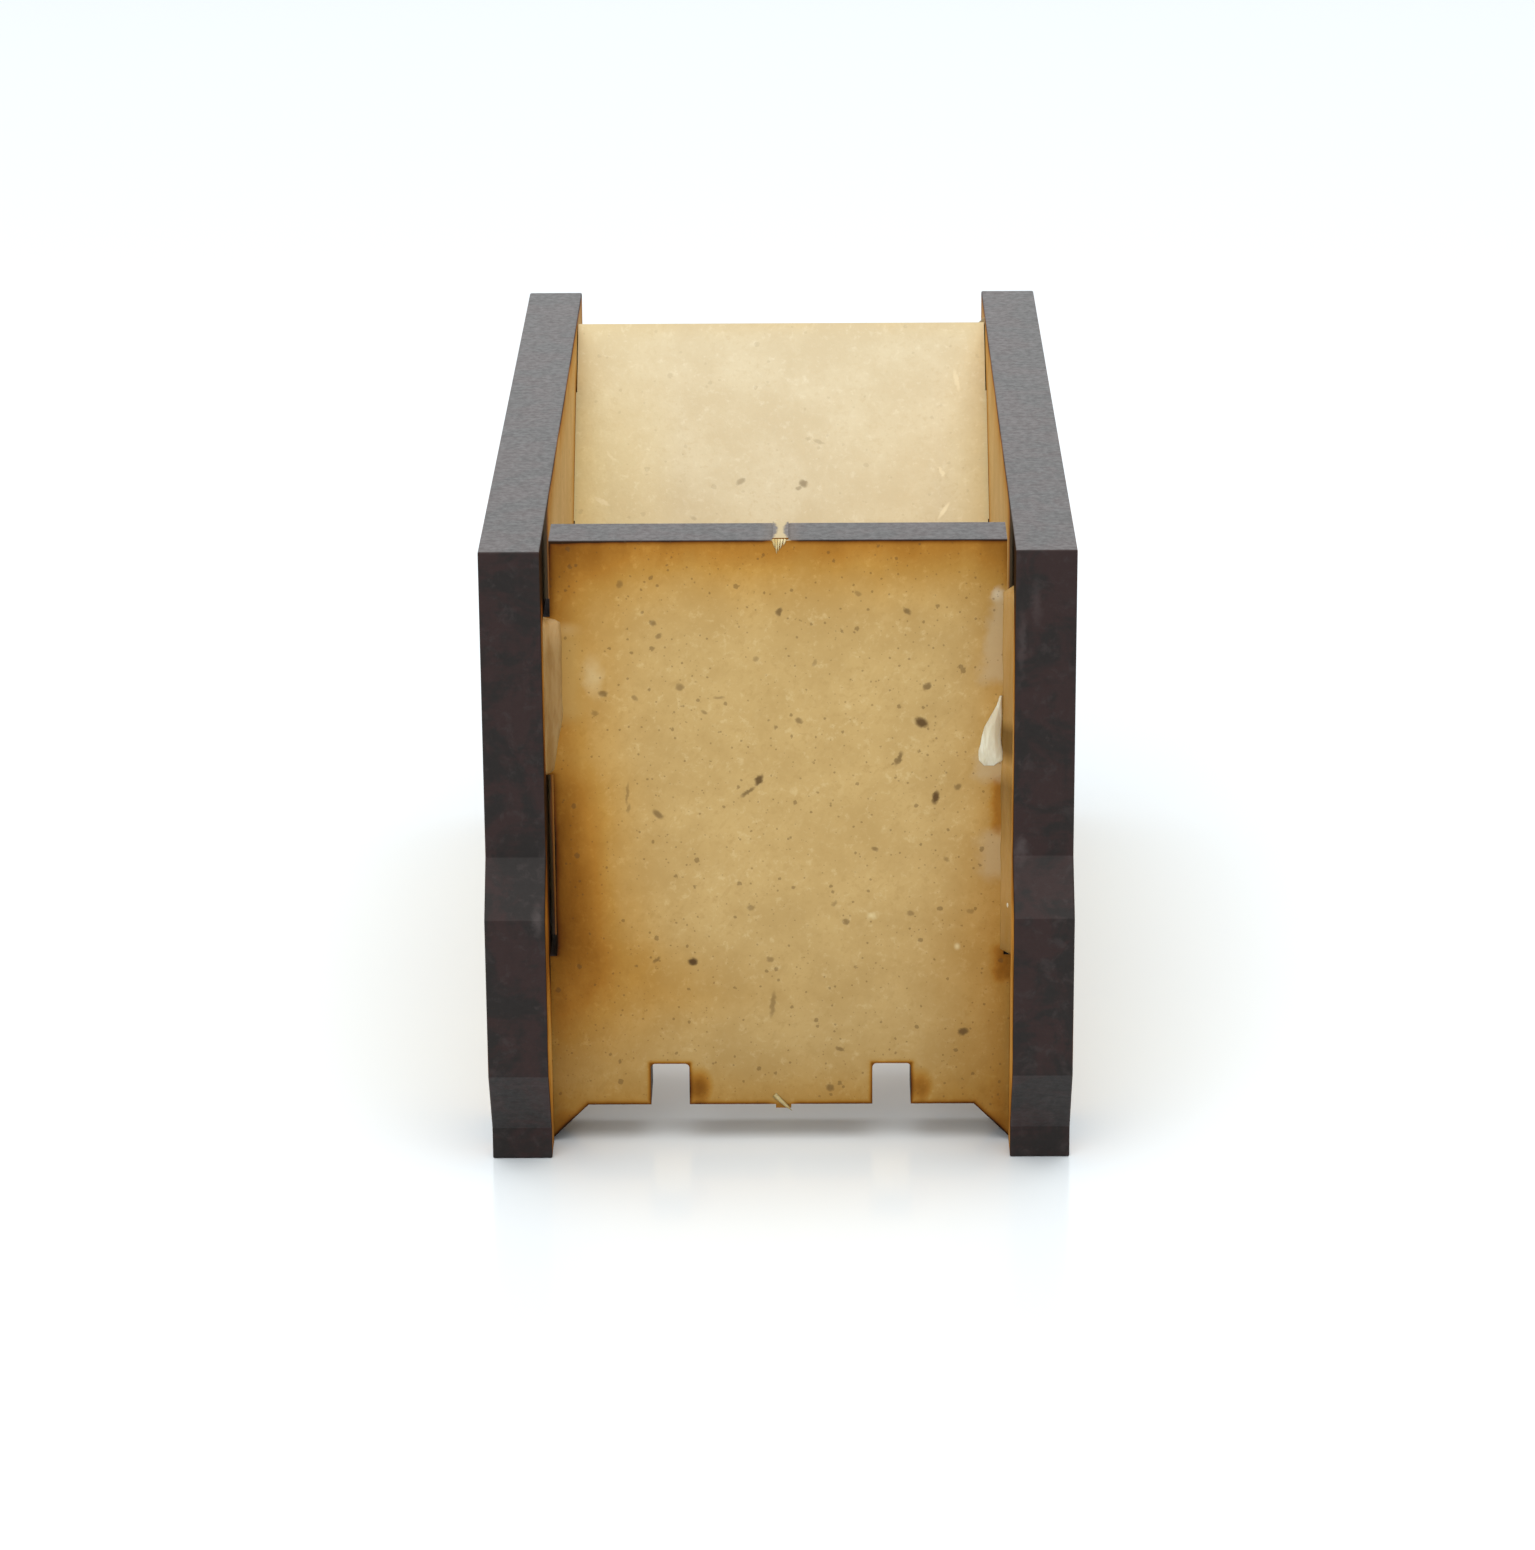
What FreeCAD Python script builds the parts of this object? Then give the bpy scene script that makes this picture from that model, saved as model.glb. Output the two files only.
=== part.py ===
"""Track ballast spreader for N gauge model railway track: a small open hopper of laser-cut MDF sheet.

Two side plates stand on the baseboard, one on each side of the track. A front panel, cut below to the shape
of the ballast bed, and a chute that slopes down towards it are tabbed through the plates and glued.

Frame: millimetres, X across the track, Y along it, Z up. The front panel faces -Y. The origin is at the
middle of the overall box, on the plane that the plates stand on.
"""

import FreeCAD, Part
import math
import os

V = FreeCAD.Vector

# Sheet material
SHEET = 2.7                   # thickness of the MDF sheet that every panel is cut from
EDGE_EASE = 0.08              # radius worn on the outer arrises of the sheet

# Side plates
INNER_WIDTH = 20.8            # clear width between the two plates
PLATE_HEIGHT = 28.8
PLATE_LENGTH = 46.4           # along the top edge
BUMP_REACH = 1.9              # how far the thickened part of the front edge stands forward
BUMP_FOOT = 1.5               # height where the lower ramp of the bump starts
BUMP_FLAT_BOTTOM = 4.8
BUMP_FLAT_TOP = 12.3
BUMP_HEAD = 14.6              # height where the upper ramp ends

# Front panel
PANEL_SETBACK = 2.0           # from the plates' front edge to the panel's front face
PANEL_TOP_DROP = 0.1          # the panel's top edge below the plates' top edge
PANEL_SIDE_GAP = 0.3          # slit between panel and plate where there is no tab
UPPER_TAB_BOTTOM = 17.8
UPPER_TAB_TOP = 25.2
LOWER_TAB_TOP = 9.1           # the lower tab runs down to the foot of the panel
PANEL_FOOT = 0.2              # the lowest points of the panel above the baseboard
BALLAST_HEIGHT = 1.8          # the flat middle of the profile, level with the top of the sleepers

# Rail notches in the front panel
RAIL_NOTCH_SPACING = 10.1     # between the middles of the two notches
RAIL_NOTCH_WIDTH = 1.75
RAIL_NOTCH_DEPTH = 2.0
RAIL_NOTCH_CORNER = 0.2       # radius that the laser leaves in the notch's upper corners

# Break-off nubs, left where the bridges to the waste sheet were snapped
NUB_WIDTH = 0.7
NUB_OFFSET = 0.12             # to the right of the panel's middle
TOP_NUB_HEIGHT = 0.08
BOTTOM_NUB_HEIGHT = 0.22

# Chute
CHUTE_ANGLE = 45.0            # slope below the horizontal
CHUTE_TOP_DROP = 0.2          # the chute's upper edge below the plates' top edge
CHUTE_TOP_SETBACK = 40.6      # from the plates' front edge to the chute's upper edge
CHUTE_RAIL_CLEARANCE = 4.2    # height of the chute's lowest edge above the baseboard
CHUTE_SIDE_GAP = 0.05
CHUTE_TAB_LENGTH = 7.4
CHUTE_TAB_INSET = 4.0         # from each end of the chute to its nearest tab

# Joints
TAB_CLEARANCE = 0.05          # play of a tab in its slot, on each side

# Dried glue
GLUE_LEG = 0.6                # width of a squeezed-out fillet on each face
GLUE_BLOB_RADIUS = 0.5
GLUE_BLOB_PROUD = 0.3
GLUE_BLOB_LENGTH = 2.8

# Places worked out from the sizes above
HALF_INNER = INNER_WIDTH / 2
HALF_OUTER = HALF_INNER + SHEET
REAR = (PLATE_LENGTH + BUMP_REACH) / 2
FRONT = REAR - PLATE_LENGTH
PANEL_FRONT = FRONT + PANEL_SETBACK
PANEL_REAR = PANEL_FRONT + SHEET
PANEL_TOP = PLATE_HEIGHT - PANEL_TOP_DROP
SHOULDER = HALF_INNER - (BALLAST_HEIGHT - PANEL_FOOT)

# The chute in the YZ plane: s runs down the slope from the upper edge, n goes into the sheet from its top face
SLOPE = math.radians(CHUTE_ANGLE)
CHUTE_TOP = V(0, FRONT + CHUTE_TOP_SETBACK, PLATE_HEIGHT - CHUTE_TOP_DROP)
DOWN_SLOPE = V(0, -math.cos(SLOPE), -math.sin(SLOPE))
INTO_SHEET = V(0, math.sin(SLOPE), -math.cos(SLOPE))
CHUTE_LENGTH = (CHUTE_TOP.z - SHEET * math.cos(SLOPE) - CHUTE_RAIL_CLEARANCE) / math.sin(SLOPE)


def prism(points, travel):
    """Solid swept from a closed flat outline."""
    return Part.Face(Part.makePolygon(points + [points[0]])).extrude(travel)


def block(x0, x1, y0, y1, z0, z1):
    return Part.makeBox(x1 - x0, y1 - y0, z1 - z0, V(x0, y0, z0))


def chute_block(x0, x1, s0, s1, n0, n1):
    """Box in the chute's own directions: across, down the slope, into the sheet."""
    corners = [(s0, n0), (s1, n0), (s1, n1), (s0, n1)]
    outline = [CHUTE_TOP + DOWN_SLOPE * s + INTO_SHEET * n + V(x0, 0, 0) for s, n in corners]
    return prism(outline, V(x1 - x0, 0, 0))


def eased(sheet_part, edges):
    return sheet_part.makeFillet(EDGE_EASE, edges)


def chute_tab_spans():
    """Start and end of each chute tab down the slope."""
    upper = CHUTE_TAB_INSET
    lower = CHUTE_LENGTH - CHUTE_TAB_INSET - CHUTE_TAB_LENGTH
    return [(start, start + CHUTE_TAB_LENGTH) for start in (upper, lower)]


def side_plate(inner_x, outward):
    """Upright plate, with an open slot and a mortise for the front panel and two mortises for the chute."""
    outline = [
        (FRONT, 0),
        (FRONT, BUMP_FOOT),
        (FRONT - BUMP_REACH, BUMP_FLAT_BOTTOM),
        (FRONT - BUMP_REACH, BUMP_FLAT_TOP),
        (FRONT, BUMP_HEAD),
        (FRONT, PLATE_HEIGHT),
        (REAR, PLATE_HEIGHT),
        (REAR, 0),
    ]
    plate = prism([V(inner_x, y, z) for y, z in outline], V(outward * SHEET, 0, 0))
    plate = eased(plate, plate.Edges)
    outer_x = inner_x + outward * SHEET
    x0 = min(inner_x, outer_x) - SHEET
    x1 = max(inner_x, outer_x) + SHEET
    slot_front = PANEL_FRONT - TAB_CLEARANCE
    slot_rear = PANEL_REAR + TAB_CLEARANCE
    cuts = [
        block(x0, x1, slot_front, slot_rear, -SHEET, LOWER_TAB_TOP + TAB_CLEARANCE),
        block(x0, x1, slot_front, slot_rear, UPPER_TAB_BOTTOM - TAB_CLEARANCE, UPPER_TAB_TOP + TAB_CLEARANCE),
    ]
    for s0, s1 in chute_tab_spans():
        cuts.append(chute_block(x0, x1, s0 - TAB_CLEARANCE, s1 + TAB_CLEARANCE, -TAB_CLEARANCE, SHEET + TAB_CLEARANCE))
    for cut in cuts:
        plate = plate.cut(cut)
    return plate


def panel_half_outline():
    """Right half of the front panel's outline in X and Z, from the foot's middle up to the top's middle."""
    notch_in = (RAIL_NOTCH_SPACING - RAIL_NOTCH_WIDTH) / 2
    notch_out = notch_in + RAIL_NOTCH_WIDTH
    notch_top = BALLAST_HEIGHT + RAIL_NOTCH_DEPTH
    body = HALF_INNER - PANEL_SIDE_GAP
    return [
        (notch_in, BALLAST_HEIGHT),
        (notch_in, notch_top),
        (notch_out, notch_top),
        (notch_out, BALLAST_HEIGHT),
        (SHOULDER, BALLAST_HEIGHT),
        (HALF_INNER, PANEL_FOOT),
        (HALF_OUTER, PANEL_FOOT),
        (HALF_OUTER, LOWER_TAB_TOP),
        (body, LOWER_TAB_TOP),
        (body, UPPER_TAB_BOTTOM),
        (HALF_OUTER, UPPER_TAB_BOTTOM),
        (HALF_OUTER, UPPER_TAB_TOP),
        (body, UPPER_TAB_TOP),
        (body, PANEL_TOP),
    ]


def front_panel():
    """Upright panel with the ballast profile, rail notches, two tabs a side and two break-off nubs."""
    right = panel_half_outline()
    left = [(-x, z) for x, z in reversed(right)]
    outline = [V(x, PANEL_FRONT, z) for x, z in right + left]
    panel = prism(outline, V(0, SHEET, 0))
    notch_top = BALLAST_HEIGHT + RAIL_NOTCH_DEPTH
    notch_corners = []
    for edge in panel.Edges:
        box = edge.BoundBox
        if box.YLength > SHEET / 2 and abs(box.ZMin - notch_top) < EDGE_EASE and abs(box.XMin) < SHOULDER:
            notch_corners.append(edge)
    panel = panel.makeFillet(RAIL_NOTCH_CORNER, notch_corners)
    top_arrises = [edge for edge in panel.Edges if edge.BoundBox.ZMin > PANEL_TOP - EDGE_EASE]
    panel = eased(panel, [edge for edge in top_arrises if edge.Length > INNER_WIDTH / 2])
    nub_x0 = NUB_OFFSET - NUB_WIDTH / 2
    nub_x1 = nub_x0 + NUB_WIDTH
    y0 = PANEL_FRONT + EDGE_EASE
    y1 = PANEL_REAR - EDGE_EASE
    top_nub = block(nub_x0, nub_x1, y0, y1, PANEL_TOP - SHEET, PANEL_TOP + TOP_NUB_HEIGHT)
    low_nub = block(nub_x0, nub_x1, y0, y1, BALLAST_HEIGHT - BOTTOM_NUB_HEIGHT, BALLAST_HEIGHT + SHEET)
    return panel.fuse([top_nub, low_nub]).removeSplitter()


def chute_panel():
    """Sloping floor of the hopper, with two tabs a side."""
    half = HALF_INNER - CHUTE_SIDE_GAP
    board = chute_block(-half, half, 0, CHUTE_LENGTH, 0, SHEET)
    tabs = [chute_block(-HALF_OUTER, HALF_OUTER, s0, s1, 0, SHEET) for s0, s1 in chute_tab_spans()]
    return board.fuse(tabs).removeSplitter()


def front_glue(side, bottom, top):
    """Fillet of glue in the corner of the front panel's face and a plate: side is -1 for left, 1 for right."""
    corner = side * HALF_INNER
    outline = [
        V(corner, PANEL_FRONT, bottom),
        V(corner - side * GLUE_LEG, PANEL_FRONT, bottom),
        V(corner, PANEL_FRONT - GLUE_LEG, bottom),
    ]
    return prism(outline, V(0, 0, top - bottom))


def glue_blob(x, z):
    """Low rounded run of glue on the front panel's face, upright, with round ends."""
    sunk = GLUE_BLOB_RADIUS - GLUE_BLOB_PROUD
    low = V(x, PANEL_FRONT + sunk, z - GLUE_BLOB_LENGTH / 2)
    rod = Part.makeCylinder(GLUE_BLOB_RADIUS, GLUE_BLOB_LENGTH, low)
    ends = [Part.makeSphere(GLUE_BLOB_RADIUS, low + V(0, 0, up)) for up in (0, GLUE_BLOB_LENGTH)]
    reach = GLUE_BLOB_LENGTH + GLUE_BLOB_RADIUS
    before_panel = block(x - reach, HALF_INNER, PANEL_FRONT - reach, PANEL_FRONT, z - reach, z + reach)
    return rod.fuse(ends).removeSplitter().common(before_panel)


def chute_glue(side, start, end):
    """Fillet of glue under the chute, along its corner with a plate, from start to end down the slope."""
    corner = CHUTE_TOP + DOWN_SLOPE * start + INTO_SHEET * SHEET + V(side * HALF_INNER, 0, 0)
    outline = [
        corner,
        corner - V(side * (GLUE_LEG + CHUTE_SIDE_GAP), 0, 0),
        corner + INTO_SHEET * GLUE_LEG,
    ]
    return prism(outline, DOWN_SLOPE * (end - start))


def corner_glue():
    """Wedge of glue on the chute's upper end, in the corner with the right plate."""
    inset = EDGE_EASE * 2
    wall_top = CHUTE_TOP + V(HALF_INNER, 0, 0) + INTO_SHEET * inset
    wall_bottom = CHUTE_TOP + V(HALF_INNER, 0, 0) + INTO_SHEET * (SHEET - inset)
    wall_back = (wall_top + wall_bottom) * 0.5 - DOWN_SLOPE * GLUE_LEG
    on_chute = (wall_top + wall_bottom) * 0.5 - V(GLUE_LEG + CHUTE_SIDE_GAP, 0, 0)
    corners = [wall_top, wall_bottom, wall_back, on_chute]
    faces = []
    for skipped in range(4):
        ring = [corner for index, corner in enumerate(corners) if index != skipped]
        faces.append(Part.Face(Part.makePolygon(ring + [ring[0]])))
    return Part.makeSolid(Part.makeShell(faces))


def glue_on_right():
    """Fillet of glue down the right corner of the front panel, with a blob beside it."""
    fillet = front_glue(1, LOWER_TAB_TOP, UPPER_TAB_TOP + SHEET / 2)
    blob = glue_blob(HALF_INNER - GLUE_LEG - GLUE_BLOB_RADIUS / 2, UPPER_TAB_BOTTOM + SHEET * 0.75)
    return fillet.fuse(blob).removeSplitter()


def parts():
    return {
        "left_side_plate": side_plate(-HALF_INNER, -1),
        "right_side_plate": side_plate(HALF_INNER, 1),
        "front_panel": front_panel(),
        "chute_panel": chute_panel(),
        "glue_front_left": front_glue(-1, UPPER_TAB_BOTTOM, UPPER_TAB_TOP),
        "glue_front_right": glue_on_right(),
        "glue_chute_left": chute_glue(-1, CHUTE_TAB_INSET, CHUTE_LENGTH - CHUTE_TAB_INSET),
        "glue_chute_right": chute_glue(1, SHEET, CHUTE_LENGTH - CHUTE_TAB_INSET),
        "glue_chute_corner": corner_glue(),
    }


os.makedirs("parts", exist_ok=True)
for name, shape in parts().items():
    solids = shape.Solids
    shape = solids[0] if len(solids) == 1 else shape
    box = shape.BoundBox
    print(name, "solids", len(solids), "valid", shape.isValid(), "volume", round(shape.Volume, 3), "box",
          [round(v, 2) for v in (box.XMin, box.YMin, box.ZMin, box.XMax, box.YMax, box.ZMax)])
    shape.exportStep("parts/" + name + ".step")
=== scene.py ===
"""Track ballast spreader in laser-cut MDF: finishes, dried glue, snapped fibres, floor, light and camera."""
import math
import random

import bmesh
import bpy
from mathutils import Matrix, Vector, noise


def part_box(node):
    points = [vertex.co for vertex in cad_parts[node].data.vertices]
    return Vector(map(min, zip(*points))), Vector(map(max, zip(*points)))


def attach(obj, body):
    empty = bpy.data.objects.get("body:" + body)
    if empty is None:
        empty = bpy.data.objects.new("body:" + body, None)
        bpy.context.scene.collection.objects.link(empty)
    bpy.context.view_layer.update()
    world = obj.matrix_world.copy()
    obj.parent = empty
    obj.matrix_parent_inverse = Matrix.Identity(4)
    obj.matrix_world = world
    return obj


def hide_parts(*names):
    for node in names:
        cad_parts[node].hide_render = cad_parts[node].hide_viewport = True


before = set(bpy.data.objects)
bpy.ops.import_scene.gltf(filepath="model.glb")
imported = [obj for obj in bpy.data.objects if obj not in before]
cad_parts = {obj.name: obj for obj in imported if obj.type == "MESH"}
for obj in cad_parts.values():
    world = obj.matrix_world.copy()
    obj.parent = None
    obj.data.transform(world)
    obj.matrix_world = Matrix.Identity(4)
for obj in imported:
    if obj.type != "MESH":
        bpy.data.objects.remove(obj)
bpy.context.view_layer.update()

MM = 0.001


def node_box(name):
    """Lowest and highest corner of a CAD node, in millimetres."""
    low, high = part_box(name)
    return Vector(low) / MM, Vector(high) / MM


LEFT_LOW, LEFT_HIGH = node_box("left_side_plate")
RIGHT_LOW, _ = node_box("right_side_plate")
PANEL_LOW, PANEL_HIGH = node_box("front_panel")
CHUTE_LOW, CHUTE_HIGH = node_box("chute_panel")
GLUE_LEFT_LOW, GLUE_LEFT_HIGH = node_box("glue_front_left")
GLUE_RIGHT_LOW, GLUE_RIGHT_HIGH = node_box("glue_front_right")

# Sizes in millimetres, as the model has them
DIAGONAL = math.sqrt(0.5)      # sine and cosine of the 45 degree slopes
SHEET = LEFT_HIGH.x - LEFT_LOW.x
INNER = RIGHT_LOW.x
PLATE_TOP = LEFT_HIGH.z
BUMP_REACH = 1.9
BUMP_HEIGHTS = (1.5, 4.8, 12.3, 14.6)
FRONT = LEFT_LOW.y + BUMP_REACH
REAR = LEFT_HIGH.y
PANEL_FACE = PANEL_LOW.y
PANEL_MIDDLE = (PANEL_FACE + PANEL_HIGH.y) / 2
TOP_NUB_HEIGHT = 0.08
PANEL_TOP = PANEL_HIGH.z - TOP_NUB_HEIGHT
PANEL_SIDE_GAP = 0.3
PANEL_SIDE = INNER - PANEL_SIDE_GAP
LOWER_TAB_TOP = 9.1
UPPER_TAB_BOTTOM = GLUE_LEFT_LOW.z
UPPER_TAB_TOP = GLUE_LEFT_HIGH.z
BALLAST = 1.8
NUB_MIDDLE = 0.12
NOTCH_MIDDLE = 5.05
NOTCH_HALF_WIDTH = 0.875
NOTCH_TOP = 3.8
SHOULDER_SUM = INNER + PANEL_LOW.z
CHUTE_EDGE = Vector((0, CHUTE_HIGH.y - SHEET * DIAGONAL, CHUTE_HIGH.z))
CHUTE_LENGTH = (CHUTE_HIGH.z - CHUTE_LOW.z) / DIAGONAL - SHEET
CHUTE_TAB_INSET = 4.0
CHUTE_TAB_HALF = 3.7
CHUTE_TAB_MIDDLES = (CHUTE_TAB_INSET + CHUTE_TAB_HALF, CHUTE_LENGTH - CHUTE_TAB_INSET - CHUTE_TAB_HALF)

# Directions
RIGHT = Vector((1, 0, 0))
FORWARD = Vector((0, -1, 0))
DOWN_SLOPE = Vector((0, -1, -1)).normalized()
UNDER_CHUTE = Vector((0, 1, -1)).normalized()


# ---------------------------------------------------------------- shader building blocks

class Graph:
    """Short names for the shader nodes that the finishes are built from."""

    def __init__(self, name):
        self.material = bpy.data.materials.new(name)
        self.material.use_nodes = True
        self.tree = self.material.node_tree
        self.shader = self.tree.nodes["Principled BSDF"]
        coords = self.add("ShaderNodeTexCoord")
        scale = self.add("ShaderNodeVectorMath", operation="SCALE")
        scale.inputs["Scale"].default_value = 1 / MM
        self.tree.links.new(coords.outputs["Object"], scale.inputs[0])
        self.place = scale.outputs[0]
        self.x, self.y, self.z = self.split(self.place)
        self.normal = self.split(coords.outputs["Normal"])

    def add(self, kind, **settings):
        node = self.tree.nodes.new(kind)
        for key, value in settings.items():
            setattr(node, key, value)
        return node

    def feed(self, socket, value):
        if isinstance(value, bpy.types.NodeSocket):
            self.tree.links.new(value, socket)
        elif value is not None:
            socket.default_value = value

    def split(self, vector):
        node = self.add("ShaderNodeSeparateXYZ")
        self.feed(node.inputs[0], vector)
        return node.outputs[0], node.outputs[1], node.outputs[2]

    def join(self, x, y, z):
        node = self.add("ShaderNodeCombineXYZ")
        for socket, value in zip(node.inputs, (x, y, z)):
            self.feed(socket, value)
        return node.outputs[0]

    def math(self, operation, a, b=None, c=None, clamp=False):
        node = self.add("ShaderNodeMath", operation=operation, use_clamp=clamp)
        for socket, value in zip(node.inputs, (a, b, c)):
            self.feed(socket, value)
        return node.outputs[0]

    def total(self, *values):
        result = values[0]
        for value in values[1:]:
            result = self.math("ADD", result, value)
        return result

    def least(self, *values):
        result = values[0]
        for value in values[1:]:
            result = self.math("MINIMUM", result, value)
        return result

    def most(self, *values):
        result = values[0]
        for value in values[1:]:
            result = self.math("MAXIMUM", result, value)
        return result

    def fade(self, value, start, end, low=0.0, high=1.0):
        """Smooth step from low at start to high at end."""
        node = self.add("ShaderNodeMapRange", interpolation_type="SMOOTHSTEP")
        for socket, item in zip(node.inputs, (value, start, end, low, high)):
            self.feed(socket, item)
        return node.outputs[0]

    def noise(self, scale, detail=3.0, rough=0.55, distortion=0.0, stretch=None, turn=None):
        """Value of a noise whose features are about 1/scale millimetres wide."""
        place = self.place
        if stretch is not None or turn is not None:
            mapping = self.add("ShaderNodeMapping", vector_type="TEXTURE")
            self.feed(mapping.inputs["Vector"], place)
            if turn is not None:
                mapping.inputs["Rotation"].default_value = turn
            if stretch is not None:
                mapping.inputs["Scale"].default_value = [1 / share for share in stretch]
            place = mapping.outputs[0]
        node = self.add("ShaderNodeTexNoise")
        self.feed(node.inputs["Vector"], place)
        node.inputs["Scale"].default_value = scale
        node.inputs["Detail"].default_value = detail
        node.inputs["Roughness"].default_value = rough
        node.inputs["Distortion"].default_value = distortion
        return node.outputs["Fac"]

    def mix(self, amount, a, b, blend="MIX"):
        node = self.add("ShaderNodeMix", data_type="RGBA", blend_type=blend)
        self.feed(node.inputs[0], amount)
        for socket, value in zip((node.inputs[6], node.inputs[7]), (a, b)):
            self.feed(socket, (*value, 1.0) if isinstance(value, tuple) else value)
        return node.outputs[2]

    def ramp(self, value, stops):
        node = self.add("ShaderNodeValToRGB")
        self.feed(node.inputs[0], value)
        elements = node.color_ramp.elements
        while len(elements) < len(stops):
            elements.new(0.5)
        for element, (position, colour) in zip(elements, stops):
            element.position = position
            element.color = (*colour, 1.0)
        return node.outputs[0]

    def edge_distance(self, value, low, high):
        """Distance inside the span from low to high to its nearer end."""
        return self.least(self.math("SUBTRACT", value, low), self.math("SUBTRACT", high, value))

    def box_distance(self, a, b, middle, half):
        """Distance outside an upright rectangle in the a, b plane."""
        out_a = self.math("SUBTRACT", self.math("ABSOLUTE", self.math("SUBTRACT", a, middle[0])), half[0])
        out_b = self.math("SUBTRACT", self.math("ABSOLUTE", self.math("SUBTRACT", b, middle[1])), half[1])
        across = self.math("MAXIMUM", out_a, 0.0)
        along = self.math("MAXIMUM", out_b, 0.0)
        squares = self.math("MULTIPLY_ADD", across, across, self.math("MULTIPLY", along, along))
        return self.math("SQRT", squares)

    def falloff(self, distance, strength, width):
        """Stain that dies away from a cut edge."""
        share = self.math("DIVIDE", self.math("MAXIMUM", distance, 0.0), width)
        curve = self.math("EXPONENT", self.math("MULTIPLY", self.math("POWER", share, 1.5), -1.0))
        return self.math("MULTIPLY", curve, strength)

    def profile(self, value, points):
        """Smooth curve through (value, result) points, for a strength that changes along an edge."""
        low, high = points[0][0], points[-1][0]
        top = max(result for _, result in points)
        span = self.fade_linear(value, low, high)
        stops = [((at - low) / (high - low), (result / top,) * 3) for at, result in points]
        return self.math("MULTIPLY", self.ramp(span, stops), top)

    def fade_linear(self, value, start, end):
        """Straight rise from 0 at start to 1 at end."""
        node = self.add("ShaderNodeMapRange")
        for socket, item in zip(node.inputs, (value, start, end, 0.0, 1.0)):
            self.feed(socket, item)
        return node.outputs[0]

    def patch(self, a, b, middle, half, soft):
        """1 inside an upright rectangle in the a, b plane, fading to 0 over a soft border."""
        return self.fade(self.box_distance(a, b, middle, half), 0.0, soft, 1.0, 0.0)

    def spot(self, a, b, middle, half):
        """1 at the middle of an ellipse in the a, b plane, fading to 0 at its rim."""
        da = self.math("MULTIPLY", self.math("SUBTRACT", a, middle[0]), 1 / half[0])
        db = self.math("MULTIPLY", self.math("SUBTRACT", b, middle[1]), 1 / half[1])
        squares = self.math("MULTIPLY_ADD", da, da, self.math("MULTIPLY", db, db))
        return self.fade(self.math("SQRT", squares), 0.0, 1.0, 1.0, 0.0)

    def roughen(self, value, scale, amount):
        """The value shifted to and fro by noise, to make a ragged border."""
        shift = self.math("MULTIPLY", self.math("SUBTRACT", self.noise(scale, 3.0, 0.6), 0.5), amount)
        return self.math("ADD", value, shift)

    def bump(self, height, strength, distance_mm):
        node = self.add("ShaderNodeBump")
        node.inputs["Strength"].default_value = strength
        node.inputs["Distance"].default_value = distance_mm * MM
        self.feed(node.inputs["Height"], height)
        self.feed(self.shader.inputs["Normal"], node.outputs[0])

    def finish(self, colour, roughness, specular=0.5, sheen=0.0):
        self.feed(self.shader.inputs["Base Color"], colour)
        self.feed(self.shader.inputs["Roughness"], roughness)
        self.feed(self.shader.inputs["Specular IOR Level"], specular)
        self.feed(self.shader.inputs["Sheen Weight"], sheen)
        self.shader.inputs["Sheen Roughness"].default_value = 0.5
        return self.material


# ---------------------------------------------------------------- MDF

# Colour of a scorched face as a share of the bare face, from untouched to char
SCORCH = [
    (0.0, (1.0, 1.0, 1.0)),
    (0.15, (0.95, 0.85, 0.66)),
    (0.30, (0.87, 0.68, 0.36)),
    (0.42, (0.78, 0.52, 0.20)),
    (0.58, (0.56, 0.33, 0.095)),
    (0.75, (0.38, 0.20, 0.052)),
    (0.90, (0.24, 0.095, 0.028)),
    (1.0, (0.045, 0.028, 0.024)),
]
# Laser-cut edges
CHAR_DARK = (0.0175, 0.0145, 0.0135)
CHAR_WARM = (0.029, 0.0165, 0.0155)
CHAR_ASH = (0.040, 0.031, 0.030)
CHAR_SHEEN = 0.38              # strength of the painted sheen highlight on upward edges
SCUFF = (0.085, 0.068, 0.066)
RAW_FIBRE = (0.46, 0.37, 0.22)
SINGED_FIBRE = (0.10, 0.065, 0.04)

# Bare MDF of each sheet: middle, dark and pale tone
PLATE_MDF = ((0.67, 0.46, 0.20), (0.57, 0.38, 0.145), (0.76, 0.58, 0.31))
PANEL_MDF = ((0.525, 0.36, 0.148), (0.44, 0.29, 0.11), (0.62, 0.47, 0.24))
CHUTE_MDF = ((0.605, 0.525, 0.36), (0.54, 0.45, 0.29), (0.68, 0.61, 0.45))

# Colour of bark flecks on each sheet
PLATE_BARK = (0.10, 0.055, 0.03)
PANEL_BARK = (0.085, 0.045, 0.017)
CHUTE_BARK = (0.20, 0.15, 0.085)
PALE_FIBRE = (0.84, 0.74, 0.50)
PALE_CHIP = (0.72, 0.60, 0.34)

# Films of dried glue on the front panel's face
FILM = (0.45, 0.33, 0.18)
FILM_CAP = (0.62, 0.54, 0.40)
LEFT_FILM = (0.43, 0.27, 0.085)
LEFT_FILM_RIM = (0.55, 0.38, 0.16)
LEFT_FILM_PALE = (0.58, 0.44, 0.23)

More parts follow.
